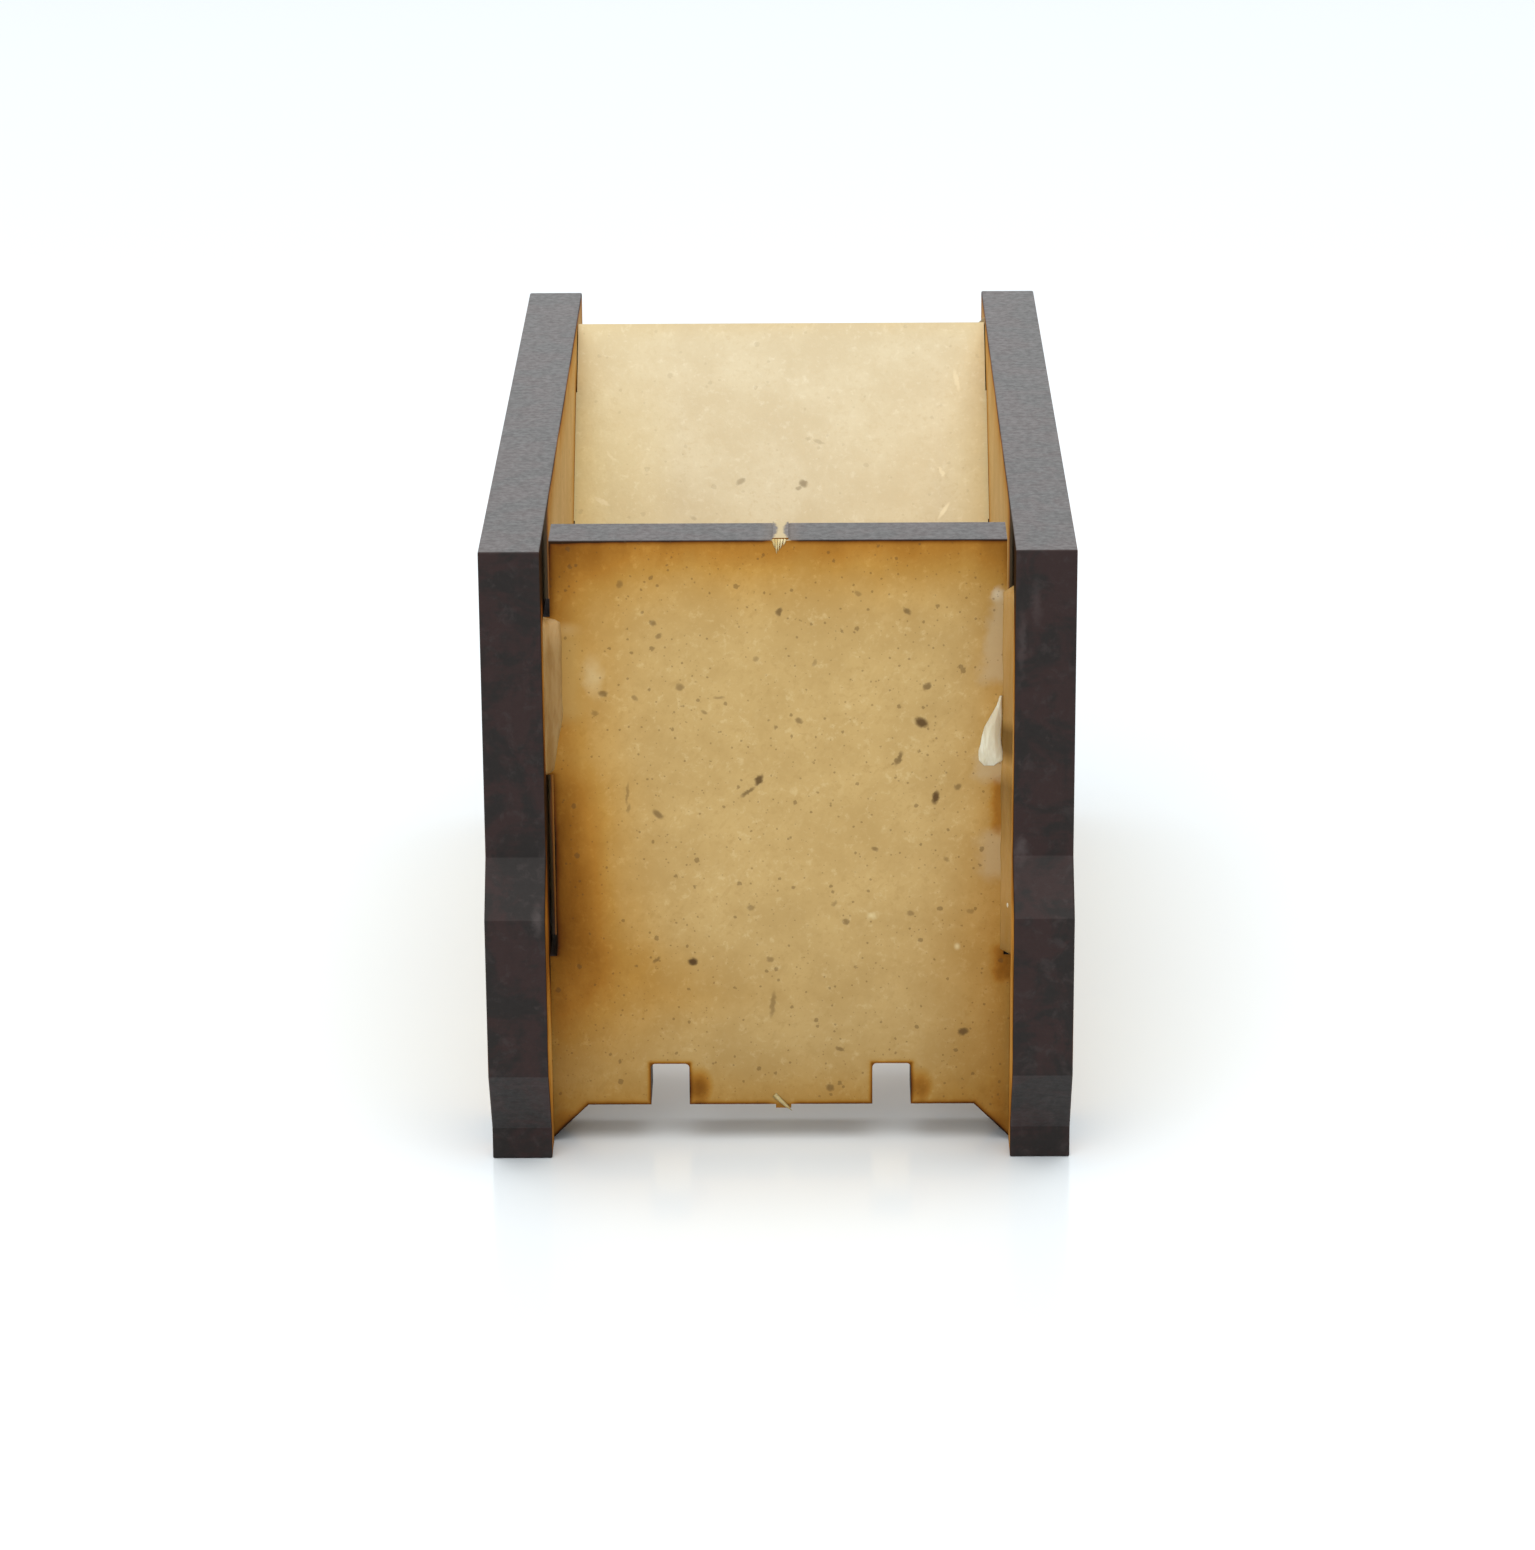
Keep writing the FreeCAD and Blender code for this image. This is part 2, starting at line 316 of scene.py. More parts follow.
# Stain beside a cut edge: strength, reach in millimetres
PLATE_RIM_BURN = (0.40, 1.5)
PLATE_END_BURN = (0.62, 2.4)
PLATE_SLOT_BURN = (0.62, 1.5)
PLATE_ARRIS_BURN = (0.6, 0.16)
PANEL_TOP_BURN = (0.47, 2.2)
PANEL_FOOT_BURN = (0.24, 1.6)
PANEL_ARRIS_BURN = (0.7, 0.11)
CHUTE_SIDE_BURN = (0.10, 0.8)
CHUTE_END_BURN = (0.08, 0.6)

# Stain up the front panel's sides: (height, strength) and (height, reach)
LEFT_BURN = [
    (0, 0.06), (3, 0.10), (7.3, 0.50), (9.6, 0.80), (13, 0.74),
    (17.2, 0.62), (18.6, 0.40), (24.8, 0.40), (28.7, 0.46),
]
LEFT_REACH = [(0, 2.6), (3, 3.0), (7.0, 5.4), (10, 2.9), (13, 2.5), (20, 2.5), (28.7, 2.2)]
RIGHT_BURN = [(0, 0.16), (3, 0.20), (9, 0.32), (12, 0.24), (22, 0.22), (27, 0.13), (28.7, 0.10)]
RIGHT_REACH = [(0, 2.6), (9, 2.4), (14, 2.0), (28.7, 1.1)]

# Scorch above the front panel's notches, from the notch's middle, and at its lower corners
NOTCH_GLOW_PLACE = (1.35, 2.6)
NOTCH_GLOW_HALF = (1.0, 1.5)
NOTCH_GLOW = {-1: 0.70, 1: 0.56}
CORNER_GLOW_PLACE = (9.9, 0.8)
CORNER_GLOW_HALF = (2.0, 2.0)
CORNER_GLOW = 0.52

# Painted shade on the plates' inner faces in the slits beside the panel: middle (back from the panel's face,
# height), half size, reach
SLIT_SHADE_HIGH = ((1.9, 27.9), (1.9, 1.1), 2.2)
SLIT_SHADE_LOW = ((1.8, 13.4), (1.8, 4.0), 1.8)
SLIT_SHADE_AHEAD = ((-1.0, 13.2), (1.0, 4.0), 0.8)
SLIT_SHADE_LEAN = 0.42
SLIT_SHADE_LOW_SHARE = [(7.0, 1.0), (13.0, 1.0), (15.2, 0.84), (17.8, 0.64)]

# Brightness of the front panel's face: (height, share) and (across, share)
LOW_SHADE = [(1.8, 0.74), (4.5, 0.84), (9, 0.93), (14, 1.0), (28.7, 1.0)]
SIDE_SHADE = [(-10.4, 1.0), (4.5, 1.0), (8.2, 0.94), (10.4, 0.91)]

# Painted light across the chute: brighter toward the plates, where its lower corners lie in shade: (across,
# share)
CHUTE_RIM_LIGHT = [(-10.4, 1.32), (-8.5, 1.16), (-5, 1.02), (0, 1.0), (8, 1.03), (10.4, 1.16)]

# Painted sheen highlight on a charred edge, stronger the more it faces up: (upward part of its normal,
# share)
SHEEN_BY_SLOPE = [(-0.9, 0.38), (-0.5, 0.36), (0.0, 0.31), (0.64, 0.45), (0.8, 0.66), (1.0, 1.0)]

# Directions that pressed fibres lie in, as turns about the axes in radians
FIBRE_TURNS = ((0.3, 0.5, 0.4), (1.1, -0.8, 0.9), (0.5, 1.5, -0.7), (-0.6, 2.3, 1.4))

# Scuffs on the plates' front edges: middle (across, height), half size, strength
PLATE_SCUFFS = {
    "mdf_left_plate": [((-10.75, 12.2), (0.35, 1.0), 0.55)],
    "mdf_right_plate": [
        ((10.75, 14.9), (0.40, 0.9), 0.55),
        ((10.72, 24.6), (0.28, 2.2), 0.32),
        ((11.35, 26.4), (0.35, 1.6), 0.26),
    ],
}


def mottle(g, bare, dark, pale):
    """Colour of a bare MDF face: clouded, with short dark and pale fibres pressed in every direction."""
    clouds = g.noise(0.30, 4.0, 0.6)
    colour = g.mix(g.fade(clouds, 0.3, 0.7, 0.0, 0.8), dark, bare)
    grain = g.noise(2.3, 4.0, 0.7, 0.2)
    colour = g.mix(g.fade(grain, 0.54, 0.74, 0.0, 0.46), colour, pale)
    colour = g.mix(g.fade(grain, 0.47, 0.28, 0.0, 0.95), colour, dark)
    for turn in FIBRE_TURNS:
        fibres = g.noise(2.6, 2.0, 0.5, 0.15, stretch=(1.0, 1.0, 0.35), turn=turn)
        colour = g.mix(g.fade(fibres, 0.62, 0.74, 0.0, 0.11), colour, pale)
        colour = g.mix(g.fade(fibres, 0.38, 0.27, 0.0, 0.50), colour, dark)
    return colour


def char(g, across):
    """Colour of a laser-cut edge: soft patches of char, with faint lines through the sheet."""
    stretch = {"x": (0.15, 1.0, 1.0), "y": (1.0, 0.15, 1.0), "slope": (1.0, 0.5, 0.5)}[across]
    lines = g.noise(5.0, 2.0, 0.5, 0.0, stretch=stretch)
    patches = g.noise(0.42, 4.0, 0.62, 0.6)
    share = g.math("ADD", g.math("MULTIPLY", lines, 0.12), g.math("MULTIPLY", patches, 0.88))
    colour = g.mix(g.fade(share, 0.42, 0.58), CHAR_DARK, CHAR_WARM)
    ash = g.noise(1.3, 4.0, 0.65, 0.4)
    return g.mix(g.fade(ash, 0.52, 0.72, 0.0, 0.55), colour, CHAR_ASH), lines


def flecks(g, spots, u, v):
    """Strength of flecks or fibres: each spot is (u, v, length, width, lean in degrees, strength)."""
    wobble = g.noise(4.0, 2.0, 0.6)
    shift = g.math("MULTIPLY", g.math("SUBTRACT", wobble, 0.5), 0.22)
    u = g.math("ADD", u, shift)
    v = g.math("SUBTRACT", v, shift)
    dark = None
    for spot_u, spot_v, length, width, lean, darkness in spots:
        cosine = math.cos(math.radians(lean))
        sine = math.sin(math.radians(lean))
        du = g.math("SUBTRACT", u, spot_u)
        dv = g.math("SUBTRACT", v, spot_v)
        length *= 0.92
        width *= 0.86
        along = g.math("MULTIPLY_ADD", du, cosine / length, g.math("MULTIPLY", dv, sine / length))
        across = g.math("MULTIPLY_ADD", du, -sine / width, g.math("MULTIPLY", dv, cosine / width))
        reach = g.math("MULTIPLY_ADD", along, along, g.math("MULTIPLY", across, across))
        spot = g.fade(reach, 0.02, 0.31, darkness * 0.95, 0.0)
        dark = spot if dark is None else g.math("MAXIMUM", dark, spot)
    return dark


def scattered_flecks(g, density, darkness):
    """Darkness of small flecks scattered at random."""
    cells = g.add("ShaderNodeTexVoronoi", feature="F1")
    g.feed(cells.inputs["Vector"], g.place)
    cells.inputs["Scale"].default_value = density
    pick = g.split(cells.outputs["Color"])[0]
    size = g.fade(pick, 0.15, 1.0, 0.0, 0.15)
    wobble = g.math("MULTIPLY", g.noise(8.0, 2.0), 0.20)
    reach = g.math("ADD", cells.outputs["Distance"], wobble)
    return g.fade(g.math("SUBTRACT", reach, size), 0.07, 0.11, darkness, 0.0)


# Bark flecks on the front panel: across, height, length, width, lean, darkness. Places in millimetres.
PANEL_FLECKS = [
    (-0.9, 17.5, 0.75, 0.45, 62, 0.80),
    (-1.4, 16.95, 0.95, 0.26, 35, 0.60),
    (6.35, 20.2, 0.75, 0.62, -30, 0.85),
    (7.0, 16.65, 0.80, 0.45, 80, 0.85),
    (5.35, 18.5, 0.85, 0.33, 65, 0.60),
    (6.6, 21.9, 0.55, 0.40, 50, 0.60),
    (8.0, 17.15, 0.45, 0.40, 20, 0.50),
    (-3.95, 8.8, 0.55, 0.52, 0, 0.90),
    (-5.6, 8.9, 0.55, 0.28, 40, 0.50),
    (8.3, 5.35, 0.62, 0.48, 15, 0.75),
    (5.7, 25.4, 0.48, 0.36, -35, 0.60),
    (0.05, 25.4, 0.50, 0.38, 70, 0.65),
    (0.9, 20.3, 0.42, 0.34, -20, 0.50),
    (-5.45, 15.9, 0.75, 0.38, -45, 0.55),
    (-7.8, 21.6, 0.50, 0.42, 0, 0.55),
    (-6.4, 21.4, 0.42, 0.28, -40, 0.40),
    (-4.4, 21.9, 0.50, 0.42, 0, 0.45),
    (-8.2, 20.7, 0.40, 0.30, 0, 0.35),
    (-5.55, 24.9, 0.42, 0.35, -25, 0.50),
    (-5.3, 24.3, 0.42, 0.30, 30, 0.45),
    (-7.0, 26.7, 0.48, 0.34, 60, 0.40),
    (-3.3, 20.7, 0.42, 0.22, -35, 0.40),
    (-2.65, 21.4, 0.65, 0.20, 0, 0.35),
    (-1.0, 23.2, 0.38, 0.32, 0, 0.35),
    (-6.8, 16.9, 1.30, 0.22, 85, 0.35),
    (-6.75, 16.2, 0.55, 0.26, 80, 0.35),
    (4.3, 14.2, 0.42, 0.30, -25, 0.50),
    (7.5, 13.7, 0.40, 0.28, -30, 0.35),
    (3.0, 10.7, 0.42, 0.36, 0, 0.50),
    (2.45, 11.6, 0.42, 0.30, 40, 0.35),
    (5.9, 11.1, 0.42, 0.34, 0, 0.40),
    (8.6, 11.2, 0.42, 0.36, 0, 0.35),
    (-1.3, 11.4, 0.46, 0.34, 0, 0.40),
    (-0.45, 8.9, 0.46, 0.36, 0, 0.40),
    (2.7, 4.5, 0.50, 0.30, -20, 0.50),
    (2.25, 2.6, 0.45, 0.50, 70, 0.55),
    (-0.35, 6.7, 1.60, 0.34, 84, 0.40),
    (1.6, 23.0, 0.48, 0.22, 55, 0.30),
    (3.55, 26.2, 0.40, 0.30, -30, 0.35),
]

# Small flecks scattered over the front panel: how many to the millimetre, darkness
SMALL_FLECKS = ((1.1, 0.46), (1.7, 0.44), (2.4, 0.42), (3.0, 0.36), (3.9, 0.30))

# Flecks on the chute: across, distance down from its upper edge, length, width, lean, darkness
CHUTE_FLECKS = [
    (-2.05, 9.2, 0.62, 0.42, -30, 0.50),
    (1.10, 9.35, 0.60, 0.55, 45, 0.75),
    (0.85, 9.60, 0.35, 0.30, 0, 0.55),
    (1.90, 6.95, 0.75, 0.30, 25, 0.30),
    (1.35, 6.75, 0.40, 0.24, 0, 0.22),
    (-4.4, 11.3, 0.40, 0.30, 40, 0.30),
]

# Pale fibres lying on the chute: the same six values, with strength for darkness
CHUTE_FIBRES = [
    (8.15, 10.9, 1.30, 0.28, -58, 0.60),
    (8.05, 8.7, 0.80, 0.26, 62, 0.45),
    (-9.0, 10.3, 1.10, 0.30, 30, 0.50),
    (-8.6, 7.7, 0.90, 0.24, 50, 0.30),
    (8.9, 3.4, 1.60, 0.34, 80, 0.30),
]


def front_distance(g):
    """Distance inside a side plate's front outline, which bulges forward at the bump."""
    past_front = g.math("SUBTRACT", g.y, FRONT)
    past_bump = g.math("ADD", past_front, BUMP_REACH)
    lines = [past_bump]
    for z_end, z_near in ((BUMP_HEIGHTS[3], BUMP_HEIGHTS[2]), (BUMP_HEIGHTS[0], BUMP_HEIGHTS[1])):
        rise = z_near - z_end
        length = math.hypot(BUMP_REACH, rise)
        above = g.math("SUBTRACT", g.z, z_end)
        shift = g.math("MULTIPLY", above, math.copysign(BUMP_REACH, rise) / length)
        lines.append(g.math("MULTIPLY_ADD", past_front, abs(rise) / length, shift))
    return g.math("MAXIMUM", past_front, g.least(*lines))


def plate_finish(name, low_gap_open):
    """Side plate: bare MDF on both faces, scorched round its outline and its slots, and charred edges."""
    g = Graph(name)
    bare = mottle(g, *PLATE_MDF)
    inside = g.fade(g.math("ABSOLUTE", g.x), INNER + 0.3, INNER + 0.1)
    half_sheet = SHEET / 2
    top = g.math("SUBTRACT", PLATE_TOP, g.z)
    front = front_distance(g)
    ends = g.math("MINIMUM", front, g.math("SUBTRACT", REAR, g.y))
    rim = g.least(top, ends, g.z)
    low_slot = g.box_distance(g.y, g.z, (PANEL_MIDDLE, LOWER_TAB_TOP / 2), (half_sheet, LOWER_TAB_TOP / 2))
    tab_middle = (UPPER_TAB_BOTTOM + UPPER_TAB_TOP) / 2
    tab_half = (UPPER_TAB_TOP - UPPER_TAB_BOTTOM) / 2
    high_slot = g.box_distance(g.y, g.z, (PANEL_MIDDLE, tab_middle), (half_sheet, tab_half))
    slots = g.least(low_slot, high_slot, chute_slots(g))
    wander = g.fade(g.noise(0.25, 3.0), 0.3, 0.7, 0.6, 1.3)
    burn = g.most(
        g.falloff(rim, *PLATE_RIM_BURN),
        g.falloff(ends, *PLATE_END_BURN),
        g.falloff(slots, *PLATE_SLOT_BURN),
    )
    burn = g.math("MULTIPLY", burn, wander)
    arris = g.falloff(g.least(rim, slots), *PLATE_ARRIS_BURN)
    # Painted shade beside the panel, on the inner face only, where the slits at its sides are open
    back = g.math("SUBTRACT", g.y, PANEL_FACE)
    leaning = g.math("MULTIPLY_ADD", back, SLIT_SHADE_LEAN, g.roughen(g.z, 0.7, 0.8))
    middle, half, reach = SLIT_SHADE_HIGH
    slit_shade = g.falloff(g.box_distance(back, leaning, middle, half), 1.0, reach)
    if low_gap_open:
        middle, half, reach = SLIT_SHADE_LOW
        gap_low = g.box_distance(back, leaning, middle, half)
        slit_shade = g.math("MAXIMUM", slit_shade, g.falloff(gap_low, g.profile(g.z, SLIT_SHADE_LOW_SHARE), reach))
    strip = g.patch(back, g.z, *SLIT_SHADE_AHEAD)
    slit_shade = g.math("MAXIMUM", slit_shade, g.math("MULTIPLY", strip, 0.34 if low_gap_open else 0.12))
    burn = g.total(burn, arris, g.math("MULTIPLY", slit_shade, inside))
    face = g.mix(1.0, bare, g.ramp(burn, SCORCH), "MULTIPLY")
    face = g.mix(scattered_flecks(g, 0.8, 0.45), face, PLATE_BARK)
    edge, lines = char(g, "x")
    ahead = g.fade(g.normal[1], -0.4, -0.9)
    for middle, half, strength in PLATE_SCUFFS[name]:
        scuff = g.spot(g.roughen(g.x, 2.5, 0.5), g.roughen(g.z, 2.5, 0.8), middle, half)
        edge = g.mix(g.math("MULTIPLY", g.math("MULTIPLY", scuff, ahead), strength), edge, SCUFF)
    is_face = g.fade(g.math("ABSOLUTE", g.normal[0]), 0.6, 0.9)
    return sheet_finish(g, is_face, face, edge, lines)


def sheet_finish(g, is_face, face, edge, lines, sheen_share=None):
    """Matt face and char edge of a laser-cut sheet, with painted sheen on the edges that face up; the last
    argument limits where that sheen shows.
    """
    colour = g.mix(is_face, edge, face)
    pits = g.math("MULTIPLY_ADD", g.noise(7.0, 3.0, 0.6), 0.5, g.math("MULTIPLY", lines, 0.5))
    g.bump(pits, 0.3, 0.05)
    is_edge = g.math("SUBTRACT", 1.0, is_face)
    roughness = g.fade(is_edge, 0.0, 1.0, 0.62, 0.48)
    # Painted highlight: sheen and specular on a charred edge grow the more it faces up
    upward = g.profile(g.normal[2], SHEEN_BY_SLOPE)
    if sheen_share is not None:
        upward = g.math("MULTIPLY", upward, sheen_share)
    speckle = g.fade(g.noise(3.2, 4.0, 0.7), 0.28, 0.72, 0.66, 1.34)
    shine = g.math("MULTIPLY", is_edge, upward)
    specular = g.fade(shine, 0.0, 1.0, 0.05, 0.20)
    sheen = g.math("MULTIPLY", g.math("MULTIPLY", shine, speckle), CHAR_SHEEN)
    return g.finish(colour, roughness, specular, sheen)


def on_slope(g):
    """Distance down the chute from its upper edge, and depth below its top face."""
    dy = g.math("SUBTRACT", g.y, CHUTE_EDGE.y)
    dz = g.math("SUBTRACT", g.z, CHUTE_EDGE.z)
    down = g.math("MULTIPLY_ADD", dy, -DIAGONAL, g.math("MULTIPLY", dz, -DIAGONAL))
    into = g.math("MULTIPLY_ADD", dy, DIAGONAL, g.math("MULTIPLY", dz, -DIAGONAL))
    return down, into


def chute_slots(g):
    """Distance from the chute's tab slots."""
    down, into = on_slope(g)
    spans = []
    for middle in CHUTE_TAB_MIDDLES:
        spans.append(g.box_distance(down, into, (middle, SHEET / 2), (CHUTE_TAB_HALF, SHEET / 2)))
    return g.least(*spans)


def panel_burn(g):
    """How far the front panel's face is scorched, from 0 to 1."""
    wide = g.math("ABSOLUTE", g.x)
    top = g.math("SUBTRACT", PANEL_TOP, g.z)
    left = g.math("ADD", g.x, PANEL_SIDE)
    right = g.math("SUBTRACT", PANEL_SIDE, g.x)
    foot = g.math("SUBTRACT", g.z, BALLAST)
    shoulder = g.math("MULTIPLY", g.math("SUBTRACT", g.math("ADD", wide, g.z), SHOULDER_SUM), DIAGONAL)
    wander = g.fade(g.noise(0.45, 4.0, 0.6, stretch=(1.0, 1.0, 0.4)), 0.3, 0.7, 0.86, 1.12)
    left_stain = g.falloff(left, g.profile(g.z, LEFT_BURN), g.profile(g.z, LEFT_REACH))
    right_stain = g.falloff(right, g.profile(g.z, RIGHT_BURN), g.profile(g.z, RIGHT_REACH))
    level = g.math("MAXIMUM", g.falloff(top, *PANEL_TOP_BURN), g.falloff(foot, *PANEL_FOOT_BURN))
    upright = g.math("MAXIMUM", left_stain, right_stain)
    overlap = g.math("MULTIPLY", g.math("MULTIPLY", level, upright), -0.8)
    burn = g.total(level, upright, overlap)
    burn = g.math("MULTIPLY", burn, wander)
    for side in (-1, 1):
        place = (side * NOTCH_MIDDLE + NOTCH_GLOW_PLACE[0], NOTCH_GLOW_PLACE[1])
        glow = g.spot(g.x, g.z, place, NOTCH_GLOW_HALF)
        burn = g.math("MAXIMUM", burn, g.math("MULTIPLY", glow, NOTCH_GLOW[side]))
    corner = g.spot(wide, g.z, CORNER_GLOW_PLACE, CORNER_GLOW_HALF)
    burn = g.math("MAXIMUM", burn, g.math("MULTIPLY", corner, CORNER_GLOW))
    notch = g.box_distance(wide, g.z, (NOTCH_MIDDLE, NOTCH_TOP / 2), (NOTCH_HALF_WIDTH, NOTCH_TOP / 2))
    edges = g.least(top, notch, g.math("MAXIMUM", foot, shoulder))
    # Painted shade: a dark line along the panel's side edges, only where the slits beside them are open
    open_left = g.math("MAXIMUM", g.patch(g.z, g.z, (13.5, 13.5), (4.3, 4.3), 0.3), g.fade(g.z, 25.0, 25.4))
    open_right = g.fade(g.z, 26.4, 26.8)
    left_side = g.math("MULTIPLY", g.falloff(left, 0.30, 0.15), open_left)
    right_side = g.math("MULTIPLY", g.falloff(right, 0.12, 0.15), open_right)
    sides = g.math("MAXIMUM", left_side, right_side)
    snapped = g.fade(g.math("ABSOLUTE", g.math("SUBTRACT", g.x, NUB_MIDDLE)), 0.25, 0.85, 0.25, 1.0)
    arris = g.math("MAXIMUM", g.math("MULTIPLY", g.falloff(edges, *PANEL_ARRIS_BURN), snapped), sides)
    return g.math("ADD", burn, arris)


def panel_finish():
    """Front panel: bare MDF, smoke-stained at its cut edges, with bark flecks and a film of dried glue."""
    g = Graph("mdf_front_panel")
    bare = mottle(g, *PANEL_MDF)
    shade = g.math("MULTIPLY", g.profile(g.z, LOW_SHADE), g.profile(g.x, SIDE_SHADE))
    bare = g.mix(1.0, bare, g.join(shade, shade, shade), "MULTIPLY")
    burn = panel_burn(g)
    ragged_x = g.roughen(g.x, 1.6, 0.7)
    ragged_z = g.roughen(g.z, 1.3, 0.7)
    brown = g.patch(ragged_x, ragged_z, (10.0, 16.4), (0.25, 1.2), 0.5)
    brown_low = g.patch(ragged_x, ragged_z, (10.1, 8.7), (0.10, 0.5), 0.6)
    burn = g.math("ADD", burn, g.math("MULTIPLY", g.math("MAXIMUM", brown, brown_low), 0.28))
    face = g.mix(1.0, bare, g.ramp(burn, SCORCH), "MULTIPLY")
    lean = g.math("MULTIPLY_ADD", g.math("SUBTRACT", g.z, 24.0), -0.16, ragged_x)
    film = g.most(
        g.patch(lean, ragged_z, (9.85, 24.1), (0.32, 1.7), 0.65),
        g.math("MULTIPLY", g.patch(ragged_x, ragged_z, (9.65, 13.9), (0.20, 0.6), 0.95), 0.85),
        g.patch(ragged_x, ragged_z, (9.55, 18.1), (0.50, 0.30), 0.60),
    )
    cap = g.spot(ragged_x, g.z, (9.75, 26.2), (0.42, 0.5))
    left_film = g.patch(g.roughen(g.x, 0.9, 0.6), ragged_z, (-9.7, 22.4), (0.50, 1.5), 1.1)
    left_rim = g.spot(g.x, g.z, (-9.35, 24.6), (0.9, 0.5))
    left_pale = g.spot(ragged_x, ragged_z, (-8.25, 22.4), (0.7, 1.3))
    face = g.mix(g.math("MULTIPLY", film, 0.72), face, FILM)
    face = g.mix(g.math("MULTIPLY", cap, 0.55), face, FILM_CAP)
    face = g.mix(g.math("MULTIPLY", left_film, 0.65), face, LEFT_FILM)
    face = g.mix(g.math("MULTIPLY", left_rim, 0.40), face, LEFT_FILM_RIM)
    face = g.mix(g.math("MULTIPLY", left_pale, 0.55), face, LEFT_FILM_PALE)
    named = g.math("MULTIPLY", flecks(g, PANEL_FLECKS, g.x, g.z), 1.15, clamp=True)
    small = [scattered_flecks(g, density, dark) for density, dark in SMALL_FLECKS]
    spots = g.most(named, *small)
    face = g.mix(spots, face, PANEL_BARK)
    chips = g.math(
        "MAXIMUM",
        g.spot(ragged_x, ragged_z, (4.2, 11.0), (0.4, 0.3)),
        g.spot(g.x, g.z, (8.0, 9.5), (0.2, 0.25)),
    )
    face = g.mix(g.math("MULTIPLY", chips, 0.55), face, PALE_CHIP)
    edge, lines = char(g, "y")
    is_face = g.fade(g.math("ABSOLUTE", g.normal[1]), 0.6, 0.9)
    # Raw fibre where the bridge was snapped: narrow at mid thickness, wider at both faces
    nub_reach = g.math("ABSOLUTE", g.math("SUBTRACT", g.roughen(g.x, 4.0, 0.35), NUB_MIDDLE))
    from_middle = g.math("DIVIDE", g.math("SUBTRACT", g.y, PANEL_MIDDLE), SHEET / 2)
    waist = g.math("MULTIPLY_ADD", g.math("MULTIPLY", from_middle, from_middle), 0.26, 0.12)
    nub = g.fade(g.math("SUBTRACT", nub_reach, waist), 0.10, -0.06)
    nub = g.math("MULTIPLY", nub, g.fade(g.math("ABSOLUTE", g.normal[2]), 0.3, 0.6))
    singed = g.fade(g.math("SUBTRACT", nub_reach, waist), 0.9, 0.1, 0.0, 0.5)
    edge = g.mix(singed, edge, SINGED_FIBRE)
    edge = g.mix(nub, edge, RAW_FIBRE)
    # Painted shade: the edge sheen fades out below the top strip, where the tabs' charred edges lie in
    # shade; none on the raw fibre of the nub
    sheen_share = g.math("MULTIPLY", g.fade(g.z, 26.0, 27.5, 0.12, 1.0), g.math("SUBTRACT", 1.0, nub))
    return sheet_finish(g, is_face, face, edge, lines, sheen_share)


def chute_finish():
    """Chute: the palest sheet, scorched a little along its edges."""
    g = Graph("mdf_chute")
    bare = mottle(g, *CHUTE_MDF)
    sides = g.math("SUBTRACT", INNER, g.math("ABSOLUTE", g.x))
    down, _ = on_slope(g)
    ends = g.edge_distance(down, 0.0, CHUTE_LENGTH)
    wander = g.fade(g.noise(0.3, 3.0), 0.3, 0.7, 0.5, 1.2)
    smoke = g.math("MAXIMUM", g.falloff(sides, *CHUTE_SIDE_BURN), g.falloff(ends, *CHUTE_END_BURN))
    # The chute also darkens further down, through the scorch ramp
    burn = g.math("MULTIPLY_ADD", smoke, wander, g.fade(down, 8.0, 26.0, 0.0, 0.16))
    face = g.mix(1.0, bare, g.ramp(burn, SCORCH), "MULTIPLY")
    # Painted light: the chute brightened toward the plates, more so further down, against the shade in its
    # corners
    rim_light = g.profile(g.x, CHUTE_RIM_LIGHT)
    deeper = g.fade(down, 1.0, 9.0, 0.25, 1.0)
    rim_light = g.math("MULTIPLY_ADD", g.math("SUBTRACT", rim_light, 1.0), deeper, 1.0)
    face = g.mix(1.0, face, g.join(rim_light, rim_light, g.math("POWER", rim_light, 0.2)), "MULTIPLY")
    face = g.mix(flecks(g, CHUTE_FIBRES, g.x, down), face, PALE_FIBRE)
    named = flecks(g, CHUTE_FLECKS, g.x, down)
    spots = g.most(named, scattered_flecks(g, 0.9, 0.16), scattered_flecks(g, 1.6, 0.14))
    face = g.mix(spots, face, CHUTE_BARK)
    edge, lines = char(g, "slope")
    facing = g.math("MULTIPLY", g.math("SUBTRACT", g.normal[2], g.normal[1]), DIAGONAL)
    is_face = g.fade(g.math("ABSOLUTE", facing), 0.6, 0.9)
    return sheet_finish(g, is_face, face, edge, lines)


